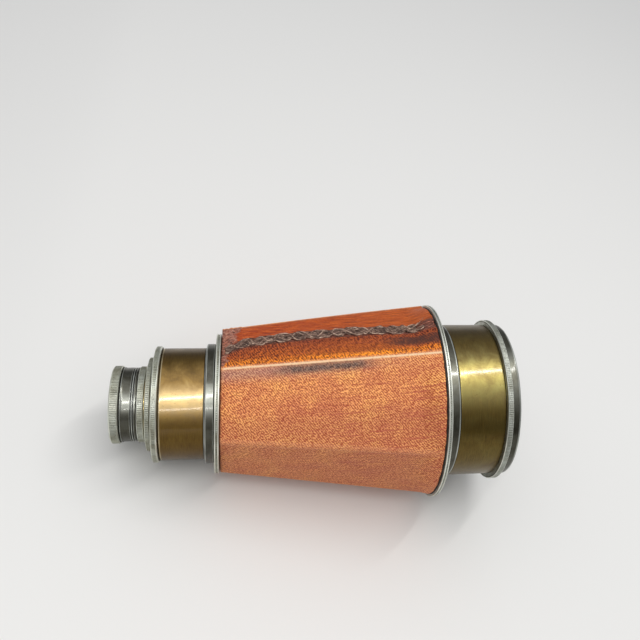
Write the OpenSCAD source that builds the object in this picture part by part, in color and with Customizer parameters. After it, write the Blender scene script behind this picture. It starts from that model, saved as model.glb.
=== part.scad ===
// Three-draw spyglass with a tapered hexagonal barrel, drawn closed and lying
// on the two ring flanges of its barrel.
//
// Every piece is turned or built round the optical axis, with z = 0 at the eye
// end and z growing towards the objective. The module lay_down() then turns the
// instrument on its side, so that both ring flanges touch the plane Z = 0.
// Radii grow from the inside out: each one is the piece inside it, plus a
// clearance, plus a wall.

/* [Eyepiece] */
// Radius of the eyepiece lenses
eye_lens_r = 10.4; // [8:0.1:14]
// Edge thickness of the eye lens
eye_lens_t = 2.4; // [1.5:0.1:4]
// Edge thickness of the field lens
field_lens_t = 2.6; // [1.5:0.1:4]
// Distance between the seats of the eye lens and the field lens
eyepiece_spacing = 30; // [22:1:40]
// Radius of the hole in the field stop
field_stop_r = 6.5; // [3:0.5:7.5]
// Radius of the hole that the eye looks through
eye_hole_r = 6; // [3:0.5:8]
// Depth of the dish round the eye hole
eye_dish = 1.8; // [1:0.1:3]
// Thickness of the plate round the eye hole
eye_plate_t = 1.2; // [0.8:0.1:2]
// Depth to which the eyepiece body enters the eye rim
eye_socket = 1.4; // [0.8:0.1:3]
// How far the knurled eye rim stands out from the eyepiece body
eye_rim_lip = 0.9; // [0.6:0.1:3]
// How far the eyepiece body stands out from the third draw
eyepiece_lip = 3.1; // [2.4:0.1:3.6]
// Length of the eyepiece body behind the eye rim
eyepiece_len = 7.8; // [5:0.1:20]
// Wall of the spigot on the eyepiece body
eyepiece_wall = 2.25; // [1:0.05:3]

/* [Erector] */
// Edge thickness of the erector lenses
erector_lens_t = 2; // [1.5:0.1:4]
// Length of the erector cell
erector_len = 24; // [16:1:32]
// Wall of the erector cell
erector_wall = 1.6; // [0.8:0.1:3]
// Radius of the hole in the erector stop
erector_stop_r = 2.5; // [1.5:0.5:6]

/* [Draw tubes] */
// Wall of the draw tubes
draw_wall = 0.7; // [0.5:0.05:1]
// Wall of the bush in the first, widest draw
bush_1_wall = 2.3; // [1:0.1:3]
// Wall of the bush in the second draw
bush_2_wall = 1.3; // [1:0.1:3]
// Wall of the ferrule spigots, which hold the bushes
sleeve_wall = 0.65; // [0.5:0.05:1]
// Length of the bushes in the ferrules
bush_len = 11; // [6:0.5:20]
// How far the first draw pulls out
pull_1 = 106; // [60:1:112]
// How far the second draw pulls out
pull_2 = 106; // [60:1:112]
// How far the third draw pulls out
pull_3 = 106; // [60:1:112]
// How far the knurled ferrule of the first draw stands out from its tube
ferrule_1_lip = 1.3; // [0.8:0.1:3]
// Thickness of the flange of the first ferrule
ferrule_1_t = 2.5; // [1.5:0.1:5]
// How far the knurled ferrule of the second draw stands out from its tube
ferrule_2_lip = 0.8; // [0.8:0.1:3]
// Thickness of the flange of the second ferrule
ferrule_2_t = 3.6; // [1.5:0.1:5]
// Length of the stop ring at the inner end of each draw
stop_len = 4; // [2:0.5:8]

/* [Eye end of the barrel] */
// Wall of the guide bush in the end cap
guide_wall = 3.1; // [2.4:0.1:4]
// Length of that guide bush
guide_len = 12; // [6:0.5:20]
// Wall of the end cap round the guide bush
cap_wall = 1.3; // [0.8:0.1:2]
// Wall of the brass collars
collar_wall = 1.1; // [0.9:0.1:2]
// How far the knurled end cap stands out from the collar
end_cap_lip = 1; // [0.7:0.1:3]
// Thickness of the flange of the end cap
end_cap_t = 3.1; // [2:0.1:6]
// Visible length of the brass collar at the eye end
eye_collar_len = 20.3; // [16:0.1:30]
// How far the dark band stands out from that collar
eye_band_lip = 2; // [1:0.1:4]
// Width of the dark band at the eye end
eye_band_w = 4.5; // [2:0.1:8]
// How far the ring flange at the eye end stands out from the leather
eye_ring_lip = 0.3; // [0.2:0.1:2]
// Thickness of that ring flange
eye_ring_t = 2.2; // [1.5:0.1:4]

/* [Barrel] */
// Length of the leather cover
leather_len = 101.6; // [90:0.1:130]
// Thickness of the leather
leather_t = 1.3; // [0.8:0.1:2]
// Rounding of the long corners of the leather
leather_round = 2.2; // [1:0.1:4]
// Bevel at both ends of the leather
leather_bevel = 0.8; // [0.4:0.1:1.2]
// Length of bare core that shows past each end of the leather
leather_margin = 0.5; // [0.3:0.1:1.5]
// Wood between the eye collar and the flats of the core
eye_wood = 2.1; // [1.5:0.1:4]
// Wood between the objective collar and the flats of the core
obj_wood = 3.7; // [2:0.1:6]
// Depth of the seats of the brass collars in the core
seat_len = 12; // [6:1:20]
// Turn of the hexagon about the optical axis
hex_turn = 10.2; // [0:0.1:59]
// Length of one cross of the stitched seam
stitch_pitch = 6.5; // [4:0.5:10]
// Width of the stitched seam
seam_w = 7.5; // [5:0.5:10]
// Radius of the thread
thread_r = 0.6; // [0.3:0.05:0.8]

/* [Objective end of the barrel] */
// Radius of the objective lenses
obj_lens_r = 34.4; // [31:0.1:40]
// Edge thickness of the rear, hollow lens of the objective
flint_t = 4.6; // [3:0.1:7]
// Edge thickness of the front lens of the objective
crown_t = 4; // [2:0.1:7]
// Wall of the objective cell
cell_wall = 2.2; // [1.2:0.1:4]
// Depth to which the bezel screws into the cell
bezel_grip = 6; // [4:0.5:10]
// How far the light baffle reaches in from its seat
baffle_reach = 4.2; // [2:0.1:8]
// Thickness of the light baffle
baffle_t = 1.5; // [0.8:0.1:3]
// Distance of the light baffle behind the objective cell
baffle_space = 4.5; // [1:0.5:12]
// Thickness of the dark backing ring at the wide end of the leather
backing_t = 0.5; // [0.3:0.1:1.5]
// How far the double ring flange stands out from the leather
obj_ring_lip = 1.4; // [0.6:0.1:3]
// Thickness of that double ring flange
obj_ring_t = 2; // [1.5:0.1:4]
// How far the dark band stands out from the collar
obj_band_lip = 0.5; // [0.5:0.1:2]
// Width of the dark band at the objective end
obj_band_w = 6.6; // [4:0.1:10]
// How far the knurled rim of the cell stands out from the collar
cell_rim_lip = 2.5; // [1:0.1:4]
// Thickness of that knurled rim
cell_rim_t = 3; // [2:0.1:6]
// Wall of the front bezel, which a slip-on cap fits over
bezel_wall = 3.55; // [2.5:0.05:5]
// Length of the front bezel
bezel_len = 4.4; // [2:0.1:6]
// Rounding of the front edge of the bezel
bezel_round = 0.8; // [0.4:0.1:1]
// Width of the bezel's lip over the front lens
bezel_lip = 1.8; // [1:0.1:4]

/* [Knurls] */
// Height of the knurl teeth
knurl_h = 0.3; // [0.15:0.05:0.4]
// Distance between neighbouring knurl teeth
knurl_pitch = 1.3; // [1:0.1:3]

/* [Clearances] */
// Radial gap between a bush and the draw that runs in it
run_gap = 0.05; // [0.02:0.01:0.1]
// Gap between pieces that are screwed or pressed together
fit_gap = 0.05; // [0.02:0.01:0.1]
// Gap between pieces of different draws that pass each other
pass_gap = 0.4; // [0.3:0.05:0.6]
// Gap between the flanges of neighbouring draws when closed
flange_gap = 0.6; // [0.3:0.05:1]

/* [Hidden] */

$fn = 120;

nickel = "#a9aa98";
dark_nickel = "#55564c";
aged_brass = "#a08440";
tube_brass = "#b9a56a";
blackened = "#2b2926";
leather_tan = "#b5502a";
thread_grey = "#4f443c";
mahogany = "#5a2f1c";
lens_clear = "#cfe3e0";

// Small shared sizes of the turned pieces
edge = 0.4;
overshoot = 1;
groove_w = 0.5;
groove_d = 0.4;
bead_h = 0.3;
ring_t = 1.2;
seat_w = 1;
stop_edge = 0.2;
lens_cell_wall = 0.9;
spigot_wall = 1;
eye_shoulder = 0.9;
obj_shoulder = 1.7;
hub_wall = 1.3;
neck_step = 2;
land_share = 0.3;

// Eyepiece, erector and draw radii, from the eyepiece lenses outwards
cell_bore = eye_lens_r + fit_gap;
cell_outer = cell_bore + lens_cell_wall;
eyepiece_bore = cell_outer + fit_gap;
eyepiece_spigot_r = eyepiece_bore + eyepiece_wall;
draw_3_bore = eyepiece_spigot_r + fit_gap;
draw_3_r = draw_3_bore + draw_wall;
eyepiece_r = draw_3_r + eyepiece_lip;
eyepiece_neck = eyepiece_r - neck_step;
eye_rim_r = eyepiece_r + eye_rim_lip;
erector_outer = draw_3_bore - fit_gap;
erector_bore = erector_outer - erector_wall;
erector_lens_r = erector_bore - fit_gap;
bush_2_outer = draw_3_r + run_gap + bush_2_wall;
sleeve_2_outer = bush_2_outer + fit_gap + sleeve_wall;
draw_2_bore = sleeve_2_outer + fit_gap;
draw_2_r = draw_2_bore + draw_wall;
bush_1_outer = draw_2_r + run_gap + bush_1_wall;
sleeve_1_outer = bush_1_outer + fit_gap + sleeve_wall;
draw_1_bore = sleeve_1_outer + fit_gap;
draw_1_r = draw_1_bore + draw_wall;
ferrule_2_r = draw_2_r + ferrule_2_lip;
ferrule_1_r = draw_1_r + ferrule_1_lip;

// Radii of the eye end of the barrel, round the first draw
guide_outer = draw_1_r + run_gap + guide_wall;
cap_spigot_r = guide_outer + fit_gap + cap_wall;
eye_collar_bore = cap_spigot_r + fit_gap;
eye_collar_r = eye_collar_bore + collar_wall;
eye_hub_r = eye_collar_r - groove_d;
eye_spigot_r = eye_hub_r - eye_shoulder;
eye_spigot_bore = eye_spigot_r - spigot_wall;
end_cap_r = eye_collar_r + end_cap_lip;
eye_band_r = eye_collar_r + eye_band_lip;
stop_1_r = eye_spigot_bore - pass_gap;
stop_2_r = draw_1_bore - pass_gap;
stop_3_r = draw_2_bore - pass_gap;

// Radii of the objective end, round the objective lenses
obj_cell_bore = obj_lens_r + fit_gap;
obj_cell_r = obj_cell_bore + cell_wall;
obj_collar_bore = obj_cell_r + fit_gap;
obj_collar_r = obj_collar_bore + collar_wall;
obj_hub_r = obj_collar_r - 2 * groove_d;
obj_hub_bore = obj_hub_r - hub_wall;
obj_spigot_r = obj_hub_r - obj_shoulder;
obj_spigot_bore = obj_spigot_r - spigot_wall;
obj_band_r = obj_collar_r + obj_band_lip;
cell_rim_r = obj_collar_r + cell_rim_lip;
bezel_r = obj_cell_bore + bezel_wall;
aperture_r = obj_lens_r - bezel_lip;

// Corner radii of the leather at its two ends, and of the ring flanges there
leather_eye_r = (eye_spigot_r + fit_gap + eye_wood + leather_t) / cos(30);
leather_obj_r = (obj_spigot_r + fit_gap + obj_wood + leather_t) / cos(30);
eye_ring_r = leather_eye_r + eye_ring_lip;
obj_ring_r = leather_obj_r + obj_ring_lip;

// Stations along the optical axis, from the eye end
rim_plate_z = eye_dish + eye_plate_t;
body_z0 = rim_plate_z + eye_socket;
body_z1 = body_z0 + eyepiece_len;
ferrule_2_z0 = body_z1 + fit_gap;
ferrule_2_z1 = ferrule_2_z0 + ferrule_2_t;
ferrule_1_z0 = ferrule_2_z1 + flange_gap;
ferrule_1_z1 = ferrule_1_z0 + ferrule_1_t;
end_cap_z0 = ferrule_1_z1 + flange_gap;
end_cap_z1 = end_cap_z0 + end_cap_t;
eye_collar_z0 = end_cap_z1 + groove_w;
eye_collar_z1 = eye_collar_z0 + eye_collar_len;
eye_band_z0 = eye_collar_z1 + groove_w;
eye_band_z1 = eye_band_z0 + eye_band_w;
eye_ring_z1 = eye_band_z1 + eye_ring_t;
leather_z0 = eye_ring_z1 + leather_margin;
leather_z1 = leather_z0 + leather_len;
backing_z0 = leather_z1 + leather_margin;
obj_ring_z0 = backing_z0 + backing_t;
obj_ring_z1 = obj_ring_z0 + obj_ring_t;
obj_band_z1 = obj_ring_z1 + obj_band_w;

// Ends of the bushes and places of the stop rings
guide_z1 = end_cap_z1 + guide_len;
bush_1_z1 = ferrule_1_z1 + bush_len;
bush_2_z1 = ferrule_2_z1 + bush_len;
stop_1_z0 = guide_z1 + pull_1 + pass_gap;
stop_2_z0 = bush_1_z1 + pull_2 + pass_gap;
stop_3_z0 = bush_2_z1 + pull_3 + pass_gap;

// Lenses of the eyepiece and the erector: edges, and how far the faces bulge
eye_lens_z0 = rim_plate_z + ring_t;
eye_lens_z1 = eye_lens_z0 + eye_lens_t;
eye_lens_bulge = 1.6;
field_lens_z0 = eye_lens_z0 + eyepiece_spacing;
field_lens_z1 = field_lens_z0 + field_lens_t;
field_lens_bulge = 1.8;
erector_z1 = stop_3_z0 + stop_len;
erector_z0 = erector_z1 - erector_len;
erector_bulge = 1.5;

// The objective: baffle, cell, two lenses with an air gap, and bezel in a row
baffle_inset = 3;
lens_air = 0.4;
inner_bulge = 2.4;
front_bulge = 2.6;
baffle_z0 = obj_band_z1 + baffle_inset;
obj_seat_z = baffle_z0 + baffle_t + baffle_space + ring_t;
flint_z1 = obj_seat_z + flint_t;
crown_z0 = flint_z1 + lens_air;
crown_z1 = crown_z0 + crown_t;
cell_rim_z1 = crown_z1 + bezel_grip;
obj_collar_z1 = cell_rim_z1 - cell_rim_t;
front_z = cell_rim_z1 + bezel_len;

// The hexagonal barrel and its seam. The seam keeps its distance from both
// ends of the leather, and drifts across the upper facet by a share of the
// corner radius there.
leather_grow = (leather_obj_r - leather_eye_r) / leather_len;
facet_slope = atan(leather_grow * cos(30));
slab_t = 0.01;
spacer_gap = 0.02;
backing_lip = 0.2;
seam_facet = hex_turn + 150;
seam_inset = 1;
seam_z0 = leather_z0 + seam_inset;
seam_z1 = leather_z1 - seam_inset;
seam_drift_0 = -0.2;
seam_drift_1 = -0.03;
thread_gap = 0.02;

// How the closed instrument lies: the plane Z = 0 touches both ring flanges
tilt = atan((obj_ring_r - eye_ring_r) / (obj_ring_z0 - eye_band_z1));
lift = eye_ring_r * cos(tilt) - eye_band_z1 * sin(tilt);
x_front = (front_z - bezel_round) * cos(tilt)
        + (bezel_r - bezel_round) * sin(tilt) + bezel_round;
x_eye = -flange_face_r(eye_rim_r) * sin(tilt);

// Radius of the flat face of a knurled flange, inside its bevelled edge
function flange_face_r(outer) = outer - knurl_h - 1.5 * edge;

// Corner radius of the leather, of the core under it, and distance of the
// leather's facets from the axis, at station z
function corner_r(z) = leather_eye_r + leather_grow * (z - leather_z0);
function core_corner_r(z) = corner_r(z) - leather_t / cos(30);
function facet_r(z) = (corner_r(z) - leather_round) * cos(30) + leather_round;

// Height of a lens face over its edge, at radius q of a lens of radius r
function dome(r, bulge, q) = bulge == 0 ? 0
    : let (big = (r * r + bulge * bulge) / (2 * abs(bulge)))
        sign(bulge) * (abs(bulge) - big + sqrt(big * big - q * q));

module lay_down() {
    translate([-(x_front + x_eye) / 2, 0, lift])
        rotate([0, 90 - tilt, 0])
            children();
}

// A solid of revolution from [radius, z] points
module turned(points) {
    rotate_extrude()
        polygon(points);
}

// A plain tube
module tube(outer, bore, z0, z1) {
    turned([[bore, z0], [outer, z0], [outer, z1], [bore, z1]]);
}

// A flange with bevelled edges and a band of straight knurl round it
module knurled_flange(outer, bore, z0, z1) {
    root = outer - knurl_h;
    face = flange_face_r(outer);
    teeth = round(2 * PI * outer / knurl_pitch);
    turned([[bore, z0], [face, z0], [face + edge, z0 + edge],
            [face + edge, z1 - edge], [face, z1], [bore, z1]]);
    translate([0, 0, z0 + edge])
        linear_extrude(z1 - z0 - 2 * edge)
            difference() {
                polygon([for (i = [0 : 2 * teeth - 1])
                    let (r = i % 2 == 0 ? outer : root, a = i * 180 / teeth)
                        [r * cos(a), r * sin(a)]]);
                circle(r = face);
            }
}

// A lens whose edge lies between z0 and z1. A positive bulge makes a face
// convex, a negative one hollows it, and zero keeps it flat.
module lens(r, z0, z1, bulge_0, bulge_1) {
    steps = 12;
    turned(concat(
        [for (i = [0 : steps]) let (q = r * i / steps) [q, z0 - dome(r, bulge_0, q)]],
        [for (i = [steps : -1 : 0]) let (q = r * i / steps) [q, z1 + dome(r, bulge_1, q)]]));
}

// The rounded hexagon of the leather at station z, as a thin slab
module hexagon_slab(z, inset) {
    translate([0, 0, z])
        rotate([0, 0, hex_turn])
            linear_extrude(slab_t)
                offset(r = leather_round, $fn = 24)
                    circle(r = corner_r(z) - inset - leather_round, $fn = 6);
}

// A tapered hexagonal bar, as thick as the core plus extra at its corners
module hexagon_bar(z0, z1, extra) {
    translate([0, 0, z0])
        rotate([0, 0, hex_turn])
            cylinder(h = z1 - z0, r1 = core_corner_r(z0) + extra,
                     r2 = core_corner_r(z1) + extra, $fn = 6);
}

module eye_rim() {
    lay_down()
        color(nickel)
            difference() {
                knurled_flange(eye_rim_r, 0, 0, body_z0);
                turned([[0, -overshoot], [eyepiece_neck, -overshoot], [eyepiece_neck, 0],
                        [eye_hole_r, eye_dish], [eye_hole_r, rim_plate_z],
                        [eyepiece_neck + fit_gap, rim_plate_z],
                        [eyepiece_neck + fit_gap, body_z0 + overshoot],
                        [0, body_z0 + overshoot]]);
            }
}

module eyepiece_body() {
    waist = eyepiece_r - groove_d;
    bead = eyepiece_r + bead_h;
    lay_down()
        color(dark_nickel)
            difference() {
                turned([[eyepiece_bore, rim_plate_z], [eyepiece_neck, rim_plate_z],
                        [eyepiece_neck, body_z0], [waist, body_z0],
                        [waist, body_z0 + groove_w], [bead, body_z0 + groove_w],
                        [bead, body_z0 + 2 * groove_w],
                        [eyepiece_r, body_z0 + 3 * groove_w],
                        [eyepiece_r, body_z1], [eyepiece_spigot_r, body_z1],
                        [eyepiece_spigot_r, body_z1 + bush_len],
                        [eyepiece_bore, body_z1 + bush_len]]);
                for (z0 = [body_z1 - 5 * groove_w, body_z1 - 3 * groove_w])
                    tube(eyepiece_r + overshoot, waist, z0, z0 + groove_w);
            }
}

module eyepiece_cell() {
    seat = cell_bore - seat_w;
    eye_seat = eye_lens_z1 + dome(eye_lens_r, eye_lens_bulge, seat);
    end = field_lens_z1 + dome(eye_lens_r, field_lens_bulge, seat) + ring_t;
    lay_down()
        color(blackened)
            turned([[cell_bore, rim_plate_z], [cell_outer, rim_plate_z],
                    [cell_outer, end], [cell_bore, end],
                    [cell_bore, field_lens_z0], [seat, field_lens_z0],
                    [seat, field_lens_z0 - ring_t], [cell_bore, field_lens_z0 - ring_t],
                    [cell_bore, eye_seat + ring_t], [seat, eye_seat + ring_t],
                    [seat, eye_seat], [cell_bore, eye_seat]]);
}

module eye_lens() {
    lay_down()
        color(lens_clear, 0.5)
            lens(eye_lens_r, eye_lens_z0, eye_lens_z1, 0, eye_lens_bulge);
}

module eye_lens_ring() {
    lay_down()
        color(blackened)
            tube(eye_lens_r, eye_lens_r - seat_w, rim_plate_z, eye_lens_z0);
}

module field_stop() {
    middle = (eye_lens_z1 + field_lens_z0) / 2;
    lay_down()
        color(blackened)
            turned([[field_stop_r, middle], [eye_lens_r, middle - ring_t / 2],
                    [eye_lens_r, middle + ring_t / 2], [field_stop_r, middle + stop_edge]]);
}

module field_lens() {
    lay_down()
        color(lens_clear, 0.5)
            lens(eye_lens_r, field_lens_z0, field_lens_z1, 0, field_lens_bulge);
}

module field_lens_ring() {
    seat = cell_bore - seat_w;
    z0 = field_lens_z1 + dome(eye_lens_r, field_lens_bulge, seat);
    lay_down()
        color(blackened)
            tube(eye_lens_r, seat, z0, z0 + ring_t);
}

module draw_tube(outer, bore, z0, z1) {
    lay_down()
        color(tube_brass)
            tube(outer, bore, z0, z1);
}

// The stop ring screwed over the inner end of a draw tube, with a lip behind it
module stop_ring(outer, tube_r, tube_bore, z0) {
    lay_down()
        color(dark_nickel)
            turned([[tube_r + fit_gap, z0], [outer - edge, z0], [outer, z0 + edge],
                    [outer, z0 + stop_len], [outer - edge, z0 + stop_len + edge],
                    [tube_bore, z0 + stop_len + edge], [tube_bore, z0 + stop_len],
                    [tube_r + fit_gap, z0 + stop_len]]);
}

// A ferrule: a knurled flange, and a spigot in the tube that holds the bush
module ferrule(outer, passing_r, spigot_r, spigot_bore, z0, z1, spigot_z1) {
    lay_down()
        color(nickel) {
            knurled_flange(outer, passing_r + pass_gap, z0, z1);
            tube(spigot_r, spigot_bore, z1 - edge, spigot_z1);
        }
}

// A bush with two bearing lands and a relief between them
module bush(outer, passing_r, z0, z1) {
    land = passing_r + run_gap;
    relief = passing_r + pass_gap;
    land_len = (z1 - z0) * land_share;
    lay_down()
        color(tube_brass)
            turned([[land, z0], [outer, z0], [outer, z1], [land, z1],
                    [land, z1 - land_len], [relief, z1 - land_len - edge],
                    [relief, z0 + land_len + edge], [land, z0 + land_len]]);
}

module draw_3_tube() draw_tube(draw_3_r, draw_3_bore, body_z1, stop_3_z0 + stop_len);
module draw_3_stop() stop_ring(stop_3_r, draw_3_r, draw_3_bore, stop_3_z0);

module erector_cell() {
    seat = erector_bore - seat_w;
    inset = ring_t + erector_lens_t + dome(erector_lens_r, erector_bulge, seat);
    lay_down()
        color(blackened)
            turned([[erector_bore, erector_z0], [erector_outer, erector_z0],
                    [erector_outer, erector_z1], [erector_bore, erector_z1],
                    [erector_bore, erector_z1 - inset], [seat, erector_z1 - inset],
                    [seat, erector_z1 - inset - ring_t],
                    [erector_bore, erector_z1 - inset - ring_t],
                    [erector_bore, erector_z0 + inset + ring_t],
                    [seat, erector_z0 + inset + ring_t],
                    [seat, erector_z0 + inset], [erector_bore, erector_z0 + inset]]);
}

module erector_rear_lens() {
    z0 = erector_z0 + ring_t;
    lay_down()
        color(lens_clear, 0.5)
            lens(erector_lens_r, z0, z0 + erector_lens_t, 0, erector_bulge);
}

module erector_front_lens() {
    z1 = erector_z1 - ring_t;
    lay_down()
        color(lens_clear, 0.5)
            lens(erector_lens_r, z1 - erector_lens_t, z1, erector_bulge, 0);
}

module erector_stop() {
    middle = (erector_z0 + erector_z1) / 2;
    lay_down()
        color(blackened)
            turned([[erector_stop_r, middle], [erector_lens_r, middle - ring_t / 2],
                    [erector_lens_r, middle + ring_t / 2], [erector_stop_r, middle + stop_edge]]);
}

module erector_lens_rings() {
    lay_down()
        color(blackened)
            for (z0 = [erector_z0, erector_z1 - ring_t])
                tube(erector_lens_r, erector_bore - seat_w, z0, z0 + ring_t);
}

module draw_2_ferrule()
    ferrule(ferrule_2_r, draw_3_r, sleeve_2_outer, bush_2_outer + fit_gap,
            ferrule_2_z0, ferrule_2_z1, bush_2_z1);
module draw_2_bush() bush(bush_2_outer, draw_3_r, ferrule_2_z1, bush_2_z1);
module draw_2_tube() draw_tube(draw_2_r, draw_2_bore, ferrule_2_z1, stop_2_z0 + stop_len);
module draw_2_stop() stop_ring(stop_2_r, draw_2_r, draw_2_bore, stop_2_z0);

module draw_1_ferrule()
    ferrule(ferrule_1_r, draw_2_r, sleeve_1_outer, bush_1_outer + fit_gap,
            ferrule_1_z0, ferrule_1_z1, bush_1_z1);
module draw_1_bush() bush(bush_1_outer, draw_2_r, ferrule_1_z1, bush_1_z1);
module draw_1_tube() draw_tube(draw_1_r, draw_1_bore, ferrule_1_z1, stop_1_z0 + stop_len);
module draw_1_stop() stop_ring(stop_1_r, draw_1_r, draw_1_bore, stop_1_z0);

module end_cap()
    ferrule(end_cap_r, draw_1_r, cap_spigot_r, guide_outer + fit_gap,
            end_cap_z0, end_cap_z1, guide_z1);
module guide_bush() bush(guide_outer, draw_1_r, end_cap_z1, guide_z1);

module eye_collar() {
    lay_down()
        color(aged_brass)
            turned([[eye_collar_bore, end_cap_z1], [eye_hub_r, end_cap_z1],
                    [eye_hub_r, eye_collar_z0], [eye_collar_r, eye_collar_z0],
                    [eye_collar_r, eye_collar_z1], [eye_hub_r, eye_collar_z1],
                    [eye_hub_r, eye_ring_z1], [eye_spigot_r, eye_ring_z1],
                    [eye_spigot_r, eye_ring_z1 + seat_len],
                    [eye_spigot_bore, eye_ring_z1 + seat_len],
                    [eye_spigot_bore, eye_band_z1], [eye_collar_bore, eye_band_z0]]);
}

module eye_band() {
    bore = eye_hub_r + fit_gap;
    bead = eye_collar_r + bead_h;
    lay_down()
        color(dark_nickel)
            turned([[bore, eye_collar_z1], [bead, eye_collar_z1],
                    [bead, eye_band_z0], [eye_band_r, eye_band_z0],
                    [eye_band_r, eye_band_z1 - groove_w],
                    [eye_band_r - groove_d, eye_band_z1 - groove_w],
                    [eye_band_r - groove_d, eye_band_z1], [bore, eye_band_z1]]);
}

// A ring flange with a bead at each edge and a groove between the two
module ring_flange(outer, bore, z0, z1) {
    bead = (z1 - z0 - groove_w) / 2;
    root = outer - groove_d;
    lay_down()
        color(nickel)
            turned([[bore, z0], [outer, z0], [outer, z0 + bead], [root, z0 + bead],
                    [root, z1 - bead], [outer, z1 - bead], [outer, z1], [bore, z1]]);
}

module eye_ring() ring_flange(eye_ring_r, eye_hub_r + fit_gap, eye_band_z1, eye_ring_z1);

module barrel_core() {
    mouth = stop_1_r + 2 * pass_gap;
    lay_down()
        color(mahogany)
            difference() {
                hexagon_bar(eye_ring_z1, backing_z0, 0);
                turned([[0, eye_ring_z1 - overshoot],
                        [eye_spigot_r + fit_gap, eye_ring_z1 - overshoot],
                        [eye_spigot_r + fit_gap, eye_ring_z1 + seat_len],
                        [mouth, eye_ring_z1 + seat_len],
                        [obj_spigot_bore, backing_z0 - seat_len],
                        [obj_spigot_r + fit_gap, backing_z0 - seat_len],
                        [obj_spigot_r + fit_gap, backing_z0 + overshoot],
                        [0, backing_z0 + overshoot]]);
            }
}

module leather_cover() {
    lay_down()
        color(leather_tan)
            difference() {
                hull() {
                    hexagon_slab(leather_z0, leather_bevel);
                    hexagon_slab(leather_z0 + leather_bevel, 0);
                    hexagon_slab(leather_z1 - leather_bevel, 0);
                    hexagon_slab(leather_z1 - slab_t, leather_bevel);
                }
                hexagon_bar(leather_z0 - overshoot, leather_z1 + overshoot, fit_gap);
            }
}

// Two threads that cross each other in every stitch, laid on the leather
module seam_stitches() {
    count = round((seam_z1 - seam_z0) / stitch_pitch);
    run = (seam_z1 - seam_z0) / count;
    height = (thread_r + thread_gap) / cos(facet_slope);
    lay_down()
        color(thread_grey)
            for (i = [0 : count - 1]) {
                share = (i + 0.5) / count;
                z = seam_z0 + (seam_z1 - seam_z0) * share;
                drift = seam_drift_0 + (seam_drift_1 - seam_drift_0) * share;
                rotate([0, 0, seam_facet])
                    translate([facet_r(z) + height, drift * corner_r(z), z])
                        rotate([0, facet_slope, 0])
                            for (side = [-1, 1])
                                rotate([side * atan(seam_w / run), 0, 0])
                                    cylinder(h = norm([seam_w, run]), r = thread_r,
                                             center = true, $fn = 8);
            }
}

module backing_ring() {
    lay_down()
        color(blackened)
            tube(corner_r(backing_z0) + backing_lip, obj_hub_r + fit_gap,
                 backing_z0, obj_ring_z0);
}

module objective_ring()
    ring_flange(obj_ring_r, obj_hub_r + fit_gap, obj_ring_z0, obj_ring_z1);

module objective_band() {
    bore = obj_hub_r + fit_gap;
    lay_down()
        color(dark_nickel)
            turned([[bore, obj_ring_z1], [obj_band_r - groove_d, obj_ring_z1],
                    [obj_band_r - groove_d, obj_ring_z1 + groove_w],
                    [obj_band_r, obj_ring_z1 + groove_w],
                    [obj_band_r, obj_band_z1 - edge], [obj_band_r - edge, obj_band_z1],
                    [bore, obj_band_z1]]);
}

module objective_collar() {
    lay_down()
        color(aged_brass)
            turned([[obj_spigot_bore, backing_z0 - seat_len],
                    [obj_spigot_r, backing_z0 - seat_len], [obj_spigot_r, backing_z0],
                    [obj_hub_r, backing_z0], [obj_hub_r, obj_band_z1],
                    [obj_collar_r, obj_band_z1], [obj_collar_r, obj_collar_z1],
                    [obj_collar_bore, obj_collar_z1], [obj_collar_bore, baffle_z0],
                    [obj_hub_bore, baffle_z0], [obj_hub_bore, obj_ring_z1],
                    [obj_spigot_bore, obj_ring_z0]]);
}

module light_baffle() {
    hole = obj_hub_bore - baffle_reach;
    lay_down()
        color(blackened)
            turned([[hole, baffle_z0 + baffle_t / 2],
                    [obj_hub_bore, baffle_z0], [obj_collar_bore - fit_gap, baffle_z0],
                    [obj_collar_bore - fit_gap, baffle_z0 + baffle_t],
                    [obj_hub_bore, baffle_z0 + baffle_t],
                    [hole, baffle_z0 + baffle_t / 2 + stop_edge]]);
}

module objective_cell() {
    seat = obj_lens_r - 2 * seat_w;
    lay_down()
        color(nickel) {
            knurled_flange(cell_rim_r, obj_cell_bore, obj_collar_z1, cell_rim_z1);
            turned([[seat, obj_seat_z - ring_t], [obj_cell_r, obj_seat_z - ring_t],
                    [obj_cell_r, obj_collar_z1 + edge], [obj_cell_bore, obj_collar_z1 + edge],
                    [obj_cell_bore, obj_seat_z], [seat, obj_seat_z]]);
        }
}

module flint_lens() {
    lay_down()
        color(lens_clear, 0.5)
            lens(obj_lens_r, obj_seat_z, flint_z1, 0, -inner_bulge);
}

// The spacer follows the curve of the two faces that it keeps apart, a hair
// clear of both
module lens_spacer() {
    inner = obj_lens_r - 2 * seat_w;
    drop = dome(obj_lens_r, inner_bulge, inner);
    lay_down()
        color(blackened)
            turned([[inner, flint_z1 + spacer_gap - drop],
                    [obj_lens_r, flint_z1 + spacer_gap],
                    [obj_lens_r, crown_z0 - spacer_gap],
                    [inner, crown_z0 - spacer_gap - drop]]);
}

module crown_lens() {
    lay_down()
        color(lens_clear, 0.5)
            lens(obj_lens_r, crown_z0, crown_z1, inner_bulge, front_bulge);
}

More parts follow.
